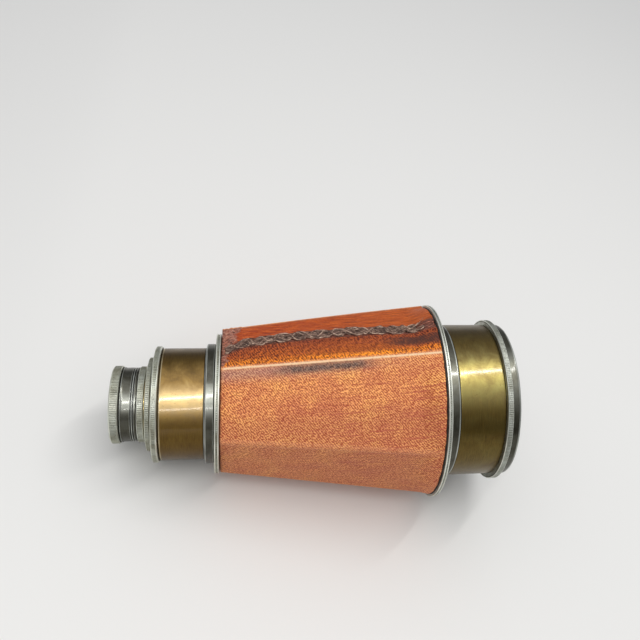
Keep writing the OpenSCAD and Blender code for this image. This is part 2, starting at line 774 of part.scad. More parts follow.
module bezel() {
    spigot = obj_cell_bore - fit_gap;
    seat_z = crown_z1 + dome(obj_lens_r, front_bulge, aperture_r);
    mouth = bezel_r - 2 * bezel_round;
    lay_down()
        color(dark_nickel)
            rotate_extrude() {
                polygon([[aperture_r, seat_z], [spigot, seat_z], [spigot, cell_rim_z1],
                         [bezel_r, cell_rim_z1], [bezel_r, front_z - bezel_round],
                         [bezel_r - bezel_round, front_z - bezel_round],
                         [bezel_r - bezel_round, front_z], [mouth, front_z],
                         [aperture_r, front_z - bezel_len]]);
                translate([bezel_r - bezel_round, front_z - bezel_round])
                    circle(r = bezel_round, $fn = 32);
            }
}

eye_rim();
eyepiece_body();
eyepiece_cell();
eye_lens();
eye_lens_ring();
field_stop();
field_lens();
field_lens_ring();
draw_3_tube();
draw_3_stop();
erector_cell();
erector_rear_lens();
erector_stop();
erector_front_lens();
erector_lens_rings();
draw_2_ferrule();
draw_2_bush();
draw_2_tube();
draw_2_stop();
draw_1_ferrule();
draw_1_bush();
draw_1_tube();
draw_1_stop();
end_cap();
guide_bush();
eye_collar();
eye_band();
eye_ring();
barrel_core();
leather_cover();
seam_stitches();
backing_ring();
objective_ring();
objective_band();
objective_collar();
light_baffle();
objective_cell();
flint_lens();
lens_spacer();
crown_lens();
bezel();
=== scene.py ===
import math

import bpy
import numpy as np
from mathutils import Matrix, Vector

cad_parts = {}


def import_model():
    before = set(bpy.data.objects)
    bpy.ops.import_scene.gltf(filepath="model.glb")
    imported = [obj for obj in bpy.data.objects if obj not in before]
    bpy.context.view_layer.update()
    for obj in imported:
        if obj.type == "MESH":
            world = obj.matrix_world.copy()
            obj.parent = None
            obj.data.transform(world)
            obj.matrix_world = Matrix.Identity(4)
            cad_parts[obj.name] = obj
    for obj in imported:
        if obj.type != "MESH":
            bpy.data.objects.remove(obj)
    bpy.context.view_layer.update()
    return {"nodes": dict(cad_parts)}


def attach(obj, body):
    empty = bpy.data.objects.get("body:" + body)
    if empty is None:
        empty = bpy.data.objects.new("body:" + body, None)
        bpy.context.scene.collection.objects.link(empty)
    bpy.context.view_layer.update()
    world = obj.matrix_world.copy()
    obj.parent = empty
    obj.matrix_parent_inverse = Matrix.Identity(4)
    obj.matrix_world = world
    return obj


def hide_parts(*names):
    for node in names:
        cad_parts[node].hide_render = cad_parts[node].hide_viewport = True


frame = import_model()

# How the optical axis lies in the row frame: local x points down, local z runs from
# the eye end to the objective, and everything local is in millimetres
TILT_COS, TILT_SIN = 0.9907320386, 0.1358308793
START_X, LIFT = -96.427149, 26.663379

# Leather: stations of its two ends, corner radii there, rounding and turn of the corners
LEATHER_0, LEATHER_1 = 50.95, 153.15
CORNER_0, CORNER_1 = 33.2291, 46.6447
CORNER_ROUND, CORNER_TURN = 2.2, 10.2
CORNERS = np.radians(CORNER_TURN + 60.0 * np.arange(6))
SEAM_CORNER = 5

# Leather: how far the corner behind the seam stands out at the eye end and how much less
# it does at the other, crown of a flat, length of the swell at the wide end, curl of the
# outer rows, and how far the inner side lies below the corners
BACK_OUT, BACK_LESS = 2.5, 1.3
CROWN, SWELL, CURL, INNER_DEPTH = 0.5, 12.0, 0.5, 1.45

# Seam: from one pucker to the next, from one crossing of the loops to the next, half its
# width, and how far the thread sinks into the leather
PUCKER, LOOP, HALF_SEAM, SUNK = 5.4, 9.3, 3.6, 0.25

# Stations where one turned piece meets the next, from the eye end
RIM_END, BODY_END = 4.4, 12.2
RING_A_0, RING_A_1 = 12.25, 15.85
RING_B_0, RING_B_1 = 16.45, 18.95
RING_C_0, EYE_COLLAR_0 = 19.55, 22.65
EYE_BAND_0, EYE_RING_0, EYE_RING_1 = 43.45, 48.45, 50.65
BIG_RING_0, BIG_RING_1 = 153.75, 155.75
BIG_COLLAR_0, CELL_0, CELL_1 = 162.35, 184.55, 187.55

# Outer radii of the turned pieces
RIM_R, BODY_R, RING_A_R, RING_B_R, RING_C_R = 18.4, 17.5, 18.0, 22.3, 27.65
EYE_COLLAR_R, EYE_BAND_R, EYE_RING_R = 26.65, 28.65, 33.55
BIG_RING_R, BIG_BAND_R, BIG_COLLAR_R, CELL_R, BEZEL_R = 47.99, 38.3, 37.8, 40.3, 38.0


# Placing
def lay_down(x, y, z):
    """Local millimetres to the row frame in metres: turned by the tilt about Y,
    lifted onto the two ring flanges, and centred along X."""
    return np.stack(np.broadcast_arrays(START_X + z * TILT_COS + x * TILT_SIN, y + 0 * z,
                                        LIFT + z * TILT_SIN - x * TILT_COS), -1) * 0.001


def round_axis(r, a, z):
    """A point at radius r and station z, a radians round from the top towards
    the photographed side."""
    return lay_down(-r * np.cos(a), -r * np.sin(a), z)


def smooth(share):
    """0 below 0, 1 above 1, and 3 s^2 - 2 s^3 in between."""
    share = np.clip(share, 0, 1)
    return share * share * (3 - 2 * share)


def new_object(name, points, faces):
    """A smooth mesh from any grid of points in metres, linked to the scene."""
    mesh = bpy.data.meshes.new(name)
    mesh.from_pydata(points.reshape(-1, 3), [], faces)
    mesh.polygons.foreach_set("use_smooth", np.full(len(faces), True))
    obj = bpy.data.objects.new(name, mesh)
    bpy.context.collection.objects.link(obj)
    return obj


def new_piece(name, points, faces, body, slot, values=None, uv=None, replaced=()):
    """A smooth mesh that rides on a body. values are named numbers per point, and uv
    holds one pair for each corner of each face."""
    obj = new_object(name, points, faces)
    for key, grid in (values or {}).items():
        numbers = np.broadcast_to(grid, points.shape[:-1]).astype(np.float32).ravel()
        obj.data.attributes.new(key, "FLOAT", "POINT").data.foreach_set("value", numbers)
    if uv is not None:
        obj.data.uv_layers.new(name="UVMap").data.foreach_set("uv", uv.astype(np.float32).ravel())
    obj.data.update()
    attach(obj, body)
    obj.data.materials.append(MATERIALS[slot])
    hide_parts(*replaced)


def grid_piece(name, points, body, slot, replaced, values=None, uv=None):
    """A ring of rows and columns, both joined end to start. uv has one more row and
    column than points, so that the pattern runs on over both joints."""
    rows, cols = points.shape[:2]
    i, j = np.meshgrid(np.arange(rows), np.arange(cols), indexing="ij")
    low, high, left, right = i * cols, (i + 1) % rows * cols, j, (j + 1) % cols
    quads = np.stack([low + left, low + right, high + right, high + left], -1).reshape(-1, 4)
    if uv is not None:
        uv = np.stack([uv[i, j], uv[i, j + 1], uv[i + 1, j + 1], uv[i + 1, j]], -2)
    new_piece(name, points, quads.tolist(), body, slot, values, uv, replaced)


# Node tools
class Nodes:
    """Short ways to add shader nodes to a tree and link them."""

    def __init__(self, tree):
        self.tree = tree

    def add(self, kind, **settings):
        node = self.tree.nodes.new(kind)
        for key, value in settings.items():
            setattr(node, key, value)
        return node

    def link(self, a, b):
        self.tree.links.new(a, b)

    def put(self, socket, value):
        """A number, colour or other socket into a socket."""
        if isinstance(value, bpy.types.NodeSocket):
            self.link(value, socket)
        else:
            socket.default_value = value

    def math(self, operation, a, b=0.0, c=0.0, clamp=False):
        node = self.add("ShaderNodeMath", operation=operation, use_clamp=clamp)
        for socket, value in zip(node.inputs, (a, b, c)):
            self.put(socket, value)
        return node.outputs[0]

    def plus(self, a, b):
        return self.math("ADD", a, b)

    def times(self, *values):
        out = values[0]
        for value in values[1:]:
            out = self.math("MULTIPLY", out, value)
        return out

    def line(self, value, slope, start):
        """value times slope, plus start."""
        return self.math("MULTIPLY_ADD", value, slope, start)

    def sine(self, value):
        return self.math("SINE", value)

    def noise(self, vector, scale, detail=4.0, rough=0.55, distort=0.0):
        node = self.add("ShaderNodeTexNoise")
        self.put(node.inputs["Vector"], vector)
        self.put(node.inputs["Scale"], scale)
        self.put(node.inputs["Detail"], detail)
        self.put(node.inputs["Roughness"], rough)
        self.put(node.inputs["Distortion"], distort)
        return node.outputs["Fac"]

    def ramp(self, value, stops):
        node = self.add("ShaderNodeValToRGB")
        elements = node.color_ramp.elements
        while len(elements) > 1:
            elements.remove(elements[-1])
        elements[0].position = stops[0][0]
        elements[0].color = colour(stops[0][1])
        for place, shade in stops[1:]:
            elements.new(place).color = colour(shade)
        self.put(node.inputs[0], value)
        return node.outputs[0]

    def band(self, value, low, high):
        """0 below low, 1 above high, smooth in between; the other way round if low
        is the larger."""
        node = self.add("ShaderNodeMapRange", interpolation_type="SMOOTHSTEP")
        flip = low > high
        self.put(node.inputs[0], value)
        self.put(node.inputs[1], high if flip else low)
        self.put(node.inputs[2], low if flip else high)
        self.put(node.inputs[3], 1.0 if flip else 0.0)
        self.put(node.inputs[4], 0.0 if flip else 1.0)
        return node.outputs[0]

    def between(self, value, a, b, c, d):
        """Up from a to b, down again from c to d."""
        return self.times(self.band(value, a, b), self.band(value, d, c))

    def mix(self, factor, a, b):
        node = self.add("ShaderNodeMix", data_type="RGBA")
        self.put(node.inputs[0], factor)
        self.put(node.inputs[6], colour(a))
        self.put(node.inputs[7], colour(b))
        return node.outputs[2]

    def scaled(self, vector, scale):
        node = self.add("ShaderNodeVectorMath", operation="MULTIPLY")
        self.put(node.inputs[0], vector)
        self.put(node.inputs[1], scale)
        return node.outputs[0]

    def turned(self, vector, angle, scale):
        """The coordinates turned about Z and then scaled."""
        node = self.add("ShaderNodeVectorRotate", rotation_type="Z_AXIS")
        self.put(node.inputs["Vector"], vector)
        self.put(node.inputs["Angle"], angle)
        return self.scaled(node.outputs[0], scale)

    def bump(self, height, strength, distance):
        node = self.add("ShaderNodeBump")
        self.put(node.inputs["Height"], height)
        self.put(node.inputs["Strength"], strength)
        self.put(node.inputs["Distance"], distance)
        return node.outputs[0]

    def attribute(self, name):
        return self.add("ShaderNodeAttribute", attribute_name=name).outputs["Fac"]

    def uv(self):
        """The UV map, which is in millimetres round and along, and its two parts."""
        out = self.add("ShaderNodeUVMap", uv_map="UVMap").outputs[0]
        parts = self.add("ShaderNodeSeparateXYZ")
        self.link(out, parts.inputs[0])
        return out, parts.outputs["X"], parts.outputs["Y"]


def colour(value):
    """Red, green and blue between 0 and 1 as a socket's colour."""
    return value if isinstance(value, bpy.types.NodeSocket) else (*value, 1.0)


def darker(shade, share):
    return tuple(v * share for v in shade)


def new_group(name, inputs, outputs):
    """An empty shader node group with float or vector sockets."""
    tree = bpy.data.node_groups.new(name, "ShaderNodeTree")
    kinds = {"f": "NodeSocketFloat", "v": "NodeSocketVector"}
    for key, kind in inputs:
        tree.interface.new_socket(key, in_out="INPUT", socket_type=kinds[kind])
    for key, kind in outputs:
        tree.interface.new_socket(key, in_out="OUTPUT", socket_type=kinds[kind])
    n = Nodes(tree)
    return n, n.add("NodeGroupInput"), n.add("NodeGroupOutput"), tree


def place_group(n, tree, **values):
    node = n.add("ShaderNodeGroup", node_tree=tree)
    for key, value in values.items():
        n.put(node.inputs[key.replace("_", " ")], value)
    return node


# Groups
def axis_group():
    """Object coordinates in millimetres along the optical axis and round it."""
    n, _, out, tree = new_group("axis_place", [], [("Place", "v"), ("Station", "f"), ("Round", "f")])
    centre = n.add("ShaderNodeMapping", vector_type="POINT")
    centre.inputs["Scale"].default_value = (1000, 1000, 1000)
    centre.inputs["Location"].default_value = (-START_X, 0, -LIFT)
    n.link(n.add("ShaderNodeTexCoord").outputs["Object"], centre.inputs["Vector"])
    turn = n.add("ShaderNodeMapping", vector_type="POINT")
    turn.inputs["Rotation"].default_value = (0, math.atan2(TILT_SIN, TILT_COS), 0)
    n.link(centre.outputs[0], turn.inputs["Vector"])
    parts = n.add("ShaderNodeSeparateXYZ")
    n.link(turn.outputs[0], parts.inputs[0])
    n.link(turn.outputs[0], out.inputs["Place"])
    n.link(parts.outputs["X"], out.inputs["Station"])
    n.link(n.math("ARCTAN2", n.times(parts.outputs["Y"], -1.0), parts.outputs["Z"]), out.inputs["Round"])
    return tree


def tarnish_group():
    """Patches, fine spots, turning marks, pits and shallow dents of metal worn by handling."""
    n, given, out, tree = new_group(
        "tarnish", [("Place", "v"), ("Patch size", "f"), ("Spot size", "f")],
        [("Patches", "f"), ("Spots", "f"), ("Turning", "f"), ("Dents", "f"), ("Pits", "f")])
    place = given.outputs["Place"]
    patch_scale = n.math("DIVIDE", 1.0, given.outputs["Patch size"])
    spot_scale = n.math("DIVIDE", 1.0, given.outputs["Spot size"])
    n.link(n.noise(place, patch_scale, 5.0, 0.6, 0.4), out.inputs["Patches"])
    n.link(n.noise(place, spot_scale, 3.0, 0.65), out.inputs["Spots"])
    n.link(n.noise(n.scaled(place, (9.0, 0.22, 0.22)), 1.0, 3.0, 0.6), out.inputs["Turning"])
    n.link(n.noise(n.scaled(place, (0.6, 0.25, 0.25)), 1.0, 2.0, 0.5), out.inputs["Dents"])
    pits = n.add("ShaderNodeTexVoronoi", feature="F1")
    n.put(pits.inputs["Vector"], place)
    n.put(pits.inputs["Scale"], spot_scale)
    n.link(n.band(pits.outputs["Distance"], 0.34, 0.12), out.inputs["Pits"])
    return tree


AXIS = axis_group()
TARNISH = tarnish_group()
MATERIALS = {}


# Materials
def new_material(name):
    material = bpy.data.materials.new(name)
    material.use_nodes = True
    material.node_tree.nodes.clear()
    n = Nodes(material.node_tree)
    out = n.add("ShaderNodeOutputMaterial")
    shader = n.add("ShaderNodeBsdfPrincipled")
    n.link(shader.outputs[0], out.inputs["Surface"])
    MATERIALS[name] = material
    return n, shader


def three_shades(n, patches, shades):
    """Dark, middle and bright by patches."""
    return n.ramp(patches, list(zip((0.34, 0.49, 0.64), shades)))


def painted_shade_and_sheen(n, base, place, patches, far, painted_shade, dark, worn):
    """Painted shade above and below the lit side, which lies higher at the objective end, and a painted
    sheen, a paler strip, along its middle. Also gives the lit side."""
    around = n.line(patches, 0.3, n.plus(place.outputs["Round"], -0.15))
    lower = n.line(far, 0.42, around)
    lit_side = n.times(n.band(n.line(far, -0.14, around), -0.2, 0.35), n.band(lower, 1.3, 0.8))
    # Painted shade: darker above and below the lit side, by the share given.
    base = n.mix(n.line(lit_side, -painted_shade, painted_shade), base, darker(dark, 0.22))
    # Painted sheen: a paler strip in the worn colour along the middle of the lit side.
    painted_sheen = n.times(n.between(lower, 0.25, 0.5, 0.7, 0.95), n.line(far, -0.35, 0.4))
    return n.mix(painted_sheen, base, worn), lit_side


def metal(name, shades, rough, patch, spot, relief, worn, pitted=0.0, far_shades=None, painted_shade=0.0,
          coat=0.0):
    """Metal worn by handling: dark, middle and bright shade by patches, dark spots and pits, turning marks
    round the axis, painted shade in the knurl's grooves and in crevices, and rubbed edges, marked by the
    piece's own attributes. patch and spot are sizes and relief is a height in millimetres. far_shades are
    those of the objective end. The share given for the painted shade darkens above and below the lit side,
    and worn colours both the rubbed edges and a painted sheen along the lit side. coat is old lacquer, which
    is thinner outside the lit side, where the painted shade lies."""
    n, shader = new_material(name)
    place = place_group(n, AXIS)
    wear = place_group(n, TARNISH, Place=place.outputs["Place"], Patch_size=patch, Spot_size=spot)
    patches, turning, pits = (wear.outputs[key] for key in ("Patches", "Turning", "Pits"))
    dark, _, bright = shades
    base = three_shades(n, patches, shades)
    far = n.band(place.outputs["Station"], 60, 140)
    if far_shades:
        base = n.mix(far, base, three_shades(n, patches, far_shades))
    if painted_shade:
        base, lit_side = painted_shade_and_sheen(n, base, place, patches, far, painted_shade, dark, worn)
        if coat:
            n.put(shader.inputs["Coat Weight"], n.line(lit_side, coat * 0.9, coat * 0.1))
    spots = n.band(wear.outputs["Spots"], 0.60, 0.72)
    base = n.mix(n.times(spots, 0.45), base, darker(dark, 0.35))
    base = n.mix(n.times(n.band(turning, 0.35, 0.75), 0.18), base, bright)
    if pitted:
        base = n.mix(n.times(pits, pitted), base, darker(dark, 0.3))
    # Painted shade: darker in the knurl's grooves and in the crevices marked d.
    groove = n.attribute("groove")
    base = n.mix(n.times(groove, 0.88), base, darker(dark, 0.2))
    base = n.mix(n.attribute("rubbed"), base, worn)
    n.put(shader.inputs["Base Color"], base)
    shader.inputs["Metallic"].default_value = 1.0
    shader.inputs["Coat Roughness"].default_value = 0.12
    shader.inputs["Coat IOR"].default_value = 1.6
    uneven = n.line(spots, 0.14, n.line(patches, -0.16, rough + 0.08))
    n.put(shader.inputs["Roughness"], n.math("MULTIPLY_ADD", groove, 0.25, uneven, clamp=True))
    height = n.line(wear.outputs["Dents"], 2.0, n.times(turning, 0.2))
    height = n.line(pits, -1.5 * pitted, n.line(spots, -0.2, height))
    n.put(shader.inputs["Normal"], n.bump(height, 1.0, relief * 0.001))


# The share given for the painted shade darkens each metal above and below its lit side; worn colours its
# rubbed edges and the painted sheen along that side.
metal("worn_nickel", ((0.40, 0.385, 0.29), (0.55, 0.56, 0.46), (0.66, 0.69, 0.61)),
      rough=0.42, patch=7.0, spot=0.8, relief=0.05, worn=(0.76, 0.77, 0.69), pitted=0.6, painted_shade=0.15,
      far_shades=((0.38, 0.385, 0.33), (0.52, 0.54, 0.48), (0.64, 0.67, 0.62)))
metal("dark_nickel", ((0.070, 0.063, 0.042), (0.130, 0.127, 0.093), (0.20, 0.20, 0.165)),
      rough=0.34, patch=9.0, spot=1.3, relief=0.01, worn=(0.50, 0.52, 0.48), painted_shade=0.65, coat=1.0)
metal("aged_brass", ((0.25, 0.140, 0.026), (0.36, 0.205, 0.038), (0.48, 0.29, 0.062)),
      rough=0.34, patch=9.0, spot=0.8, relief=0.002, worn=(0.60, 0.49, 0.29), painted_shade=0.88, coat=1.0,
      far_shades=((0.23, 0.175, 0.040), (0.36, 0.30, 0.078), (0.48, 0.42, 0.12)))
metal("tube_brass", ((0.42, 0.29, 0.11), (0.60, 0.45, 0.19), (0.70, 0.55, 0.26)),
      rough=0.2, patch=30.0, spot=2.0, relief=0.01, worn=(0.78, 0.64, 0.34))


def blackened_brass():
    n, shader = new_material("blackened_brass")
    place = place_group(n, AXIS)
    wear = place_group(n, TARNISH, Place=place.outputs["Place"], Patch_size=6.0, Spot_size=0.8)
    black = [(0.4, (0.012, 0.011, 0.010)), (0.7, (0.035, 0.031, 0.026))]
    n.put(shader.inputs["Base Color"], n.ramp(wear.outputs["Spots"], black))
    n.put(shader.inputs["Roughness"], n.line(wear.outputs["Patches"], 0.3, 0.45))
    n.put(shader.inputs["Normal"], n.bump(wear.outputs["Turning"], 0.5, 0.00003))


def core_wood():
    n, shader = new_material("core_wood")
    place = place_group(n, AXIS)
    grain = n.noise(n.scaled(place.outputs["Place"], (0.04, 1.1, 1.1)), 1.0, 5.0, 0.6, 0.5)
    brown = [(0.3, (0.05, 0.018, 0.01)), (0.7, (0.13, 0.05, 0.024))]
    n.put(shader.inputs["Base Color"], n.ramp(grain, brown))
    n.put(shader.inputs["Roughness"], n.line(grain, 0.2, 0.5))
    n.put(shader.inputs["Normal"], n.bump(grain, 0.4, 0.0001))


def lens_glass():
    n, shader = new_material("lens_glass")
    place = place_group(n, AXIS)
    dust = n.noise(place.outputs["Place"], 0.9, 6.0, 0.7)
    clear = [(0.3, (0.93, 0.97, 0.96)), (0.75, (0.98, 0.99, 0.985))]
    n.put(shader.inputs["Base Color"], n.ramp(dust, clear))
    n.put(shader.inputs["Roughness"], n.times(n.band(dust, 0.55, 0.8), 0.06))
    shader.inputs["Transmission Weight"].default_value = 1.0
    shader.inputs["IOR"].default_value = 1.52


def leather_facets(n, across, along, off, top, broad, streaks):
    """Orange facets, reddest low down in front. The one with the seam goes from dark at the seam through
    brown to gold at its front corner, and is red behind it, partly the leather's own red and partly painted
    shade."""
    base = n.ramp(broad, [(0.3, (0.68, 0.17, 0.070)), (0.5, (0.83, 0.25, 0.088)), (0.7, (0.93, 0.33, 0.10))])
    base = n.mix(n.times(n.band(across, 18.0, 30.0), 0.45), base, (0.48, 0.12, 0.055))
    below = n.line(broad, 6.0, n.plus(off, -3.0))
    browns = [(0.15, (0.19, 0.042, 0.022)), (0.40, (0.30, 0.056, 0.014)), (0.75, (0.40, 0.085, 0.013))]
    seamed = n.ramp(n.math("DIVIDE", below, 20.0), browns)
    glow = n.times(n.between(n.line(broad, 4.0, across), -5.0, -0.5, 3.0, 5.0),
                   n.line(n.between(along, 80, 110, 128, 146), 0.5, 0.42))
    seamed = n.mix(glow, seamed, (0.84, 0.25, 0.020))
    # Behind the seam: the leather's red, darkened further as painted shade.
    reds_and_shade = [(0.34, (0.15, 0.022, 0.008)), (0.47, (0.36, 0.044, 0.006)), (0.60, (0.58, 0.11, 0.014))]
    above = n.mix(n.times(n.band(along, 70, 150), 0.25), n.ramp(streaks, reds_and_shade), (0.56, 0.15, 0.016))
    seamed = n.mix(n.band(off, -2.4, -3.4), seamed, above)
    return n.mix(top, base, seamed)


def leather_grain(n, uv, across, along):
    """Short dashes: a slanting sine, a second one across it that cuts it up, and a
    slanting noise. On the facet with the seam they are twice as wide."""
    wander = n.times(n.plus(n.noise(uv, 0.5, 2.0, 0.5), -0.5), 11.0)
    seamed_part = n.math("MINIMUM", n.math("MAXIMUM", n.times(across, -1.0), 0.0), 24.0)
    wide = n.line(seamed_part, 0.5, across)
    slant = n.sine(n.plus(n.line(along, 5.4, n.times(wide, -4.4)), wander))
    cut = n.sine(n.plus(n.line(along, 2.0, n.times(wide, 4.8)), n.times(wander, 1.5)))
    grid = n.add("ShaderNodeCombineXYZ")
    n.link(wide, grid.inputs[0])
    n.link(along, grid.inputs[1])
    scales = n.noise(n.turned(grid.outputs[0], 0.7, (1.75, 0.75, 1.0)), 1.0, 2.0, 0.7)
    return n.band(n.line(slant, 0.10, n.line(cut, 0.06, scales)), 0.38, 0.62)


def leather_stains(n, base, uv, across, along, off, top, streaks, dash):
    """Mauve and soot under the front corner, a smudge below the seam's wide end, and painted shadow beside
    the seam with pink painted highlights in it."""
    mauve = n.times(n.between(across, 0.4, 1.2, 2.6, 9.0), n.band(along, 160, 60))
    base = n.mix(n.times(mauve, 0.7), base, n.mix(dash, (0.30, 0.125, 0.10), (0.56, 0.31, 0.25)))
    stain = n.band(n.noise(uv, 0.3, 4.0, 0.65), 0.26, 0.55)
    soot = n.times(n.between(across, 0.4, 1.0, 3.2, 6.0), n.between(along, 70, 86, 112, 126),
                   n.line(stain, 0.5, 0.45))
    base = n.mix(soot, base, n.mix(dash, (0.05, 0.032, 0.028), (0.24, 0.15, 0.12)))
    smudge = n.times(n.between(off, 6.0, 8.5, 12.5, 15.5), n.band(along, 122, 138), top)
    base = n.mix(n.times(smudge, n.line(stain, 0.3, 0.6)), base, (0.08, 0.03, 0.022))
    # Painted shadow of the seam on the leather beside it.
    seam_shadow = n.times(n.between(off, -4.4, -3.2, 3.4, 5.0), top)
    base = n.mix(n.times(seam_shadow, n.line(streaks, 0.6, 0.45)), base, (0.13, 0.050, 0.036))
    # Pink painted highlights in that shadow, between the loops.
    pink_highlights = n.times(seam_shadow, n.band(n.noise(n.scaled(uv, (1.6, 0.35, 1.0)), 1.0, 3.0, 0.6), 0.56, 0.66))
    return n.mix(n.times(pink_highlights, 0.8), base, (0.70, 0.27, 0.18))


def leather_edges(n, base, uv, across, along, top, flap, torn):
    """The mottled flap at the eye end, grime and painted shade at both ends, a cream painted highlight on the
    corner between the seam's facet and the front one, and a fainter rub on every corner."""
    mottles = [(0.38, (0.06, 0.035, 0.03)), (0.46, (0.22, 0.07, 0.045)), (0.53, (0.40, 0.11, 0.06)),
               (0.565, (0.80, 0.45, 0.32)), (0.60, (0.22, 0.08, 0.06))]
    base = n.mix(n.times(flap, top), base, n.ramp(torn, mottles))
    # Grime and painted shade where the leather meets the rings at both ends.
    grime_and_shade = n.math("MAXIMUM", n.band(along, LEATHER_0 + 1.0, LEATHER_0 + 0.2),
                   n.band(along, LEATHER_1 - 0.5, LEATHER_1 - 0.1))
    base = n.mix(n.times(grime_and_shade, 0.5), base, (0.16, 0.05, 0.03))
    broken = n.band(n.noise(uv, 0.5, 5.0, 0.75), 0.36, 0.52)
    # Painted highlight: a broken cream line along the corner between the seam's facet and the front one.
    line = n.times(n.between(across, -0.7, -0.1, 0.3, 0.95), n.band(along, LEATHER_0, LEATHER_0 + 2.0))
    base = n.mix(n.times(line, n.line(broken, 0.55, 0.45)), base, (1.0, 0.78, 0.50))
    rub = n.times(n.band(n.attribute("to_corner"), 1.2, 0.1), broken, 0.3)
    return n.mix(rub, base, (0.80, 0.36, 0.18))


def tan_leather():
    """Tan leather. Round the barrel, the UV map counts millimetres from the corner
    between the seam's facet and the front one. The grain fades out behind the seam."""
    n, shader = new_material("tan_leather")
    uv, across, along = n.uv()
    off, flap = n.attribute("from_seam"), n.attribute("flap")
    top = n.band(off, 29.5, 27.5)
    broad = n.noise(uv, 0.075, 4.0, 0.6, 0.6)
    streaks = n.noise(n.scaled(uv, (1.5, 0.1, 1.0)), 1.0, 4.0, 0.65)
    torn = n.noise(n.scaled(uv, (0.9, 0.45, 1.0)), 1.0, 5.0, 0.7, 1.4)
    dash = leather_grain(n, uv, across, along)
    grained = n.line(n.times(top, n.band(off, -2.0, -4.0)), -0.8, 1.0)

    base = leather_facets(n, across, along, off, top, broad, streaks)
    light = n.mix(top, n.scaled(base, (1.28, 1.85, 1.8)), n.scaled(base, (1.80, 2.0, 1.5)))
    dark = n.mix(top, n.scaled(base, (0.55, 0.36, 0.36)), n.scaled(base, (0.30, 0.20, 0.30)))
    base = n.mix(grained, base, n.mix(dash, dark, light))
    lines = n.noise(n.scaled(uv, (1.4, 0.030, 1.0)), 1.0, 3.0, 0.6)
    lined = n.times(n.band(lines, 0.52, 0.38), n.line(n.band(across, 6, 20), 0.35, 0.30),
                    n.line(n.band(along, 60, 125), 0.75, 0.35), grained)
    base = n.mix(lined, base, (0.47, 0.095, 0.055))
    base = leather_stains(n, base, uv, across, along, off, top, streaks, dash)
    base = leather_edges(n, base, uv, across, along, top, flap, torn)
    n.put(shader.inputs["Base Color"], base)
    n.put(shader.inputs["Roughness"], n.line(dash, -0.10, 0.56))
    shader.inputs["Specular IOR Level"].default_value = 0.25
    height = n.line(dash, n.times(grained, 0.8), n.times(broad, 1.5))
    height = n.line(streaks, 0.6, n.line(n.times(torn, flap), 3.0, height))
    n.put(shader.inputs["Normal"], n.bump(height, 1.0, 0.00016))


def seam_thread():
    """Waxed sewing thread gone grey-brown: slanting twists along each yarn."""
    n, shader = new_material("seam_thread")
    uv, across, along = n.uv()
    twist = n.sine(n.plus(n.times(along, 7.0), n.times(across, 2.0)))
    tone = n.noise(n.scaled(uv, (0.2, 0.28, 1.0)), 1.0, 4.0, 0.75)
    shade = n.line(n.attribute("yarn"), 0.38, n.times(n.band(tone, 0.3, 0.7), 0.62))
    greys = [(0.18, (0.035, 0.018, 0.012)), (0.40, (0.13, 0.066, 0.046)), (0.62, (0.28, 0.165, 0.12)),
             (0.84, (0.72, 0.51, 0.38))]
    n.put(shader.inputs["Base Color"], n.ramp(n.line(twist, 0.06, shade), greys))
    n.put(shader.inputs["Roughness"], n.line(tone, 0.2, 0.5))
    n.put(shader.inputs["Normal"], n.bump(twist, 0.6, 0.00008))


for finish in (blackened_brass, core_wood, lens_glass, tan_leather, seam_thread):
    finish()


# Turned pieces
def outline(*corners, steps=4):
    """A closed outline from (station, radius, blend, marks): a corner with a blend becomes a quadratic curve
    that starts and ends that far from it. Marks are k for knurled, d for painted shade in a crevice between
    pieces and r for a rubbed edge; unless both ends of a long side have it, a mark fades out within 0.2 mm."""
    points = [np.array(corner[:2], float) for corner in corners]
    out = []
    for i, (point, corner) in enumerate(zip(points, corners)):
        marks = corner[3] if len(corner) > 3 else ""
        if len(corner) < 3 or corner[2] <= 0:
            out.append((*point, marks))
            continue
        back, ahead = points[i - 1] - point, points[(i + 1) % len(points)] - point
        back_length, ahead_length = np.linalg.norm(back), np.linalg.norm(ahead)
        blend = min(corner[2], back_length * 0.49, ahead_length * 0.49)
        start, end = point + back / back_length * blend, point + ahead / ahead_length * blend
        for t in np.linspace(0, 1, steps + 1):
            out.append((*((1 - t) ** 2 * start + 2 * t * (1 - t) * point + t * t * end), marks))
    return fade_marks(out)


def fade_marks(points, long_side=0.6, fade=0.2):
    """Adds two points to each long side with a mark at an end. A rubbed edge never
    spreads over such a side."""
    faded = []
    for here, there in zip(points, points[1:] + points[:1]):
        faded.append(here)
        gap = math.dist(here[:2], there[:2])
        if gap > long_side and here[2] + there[2]:
            both = "".join(set(here[2]) & set(there[2]) - {"r"})
            for t in (fade / gap, 1 - fade / gap):
                faded.append((here[0] + (there[0] - here[0]) * t, here[1] + (there[1] - here[1]) * t, both))
    return faded


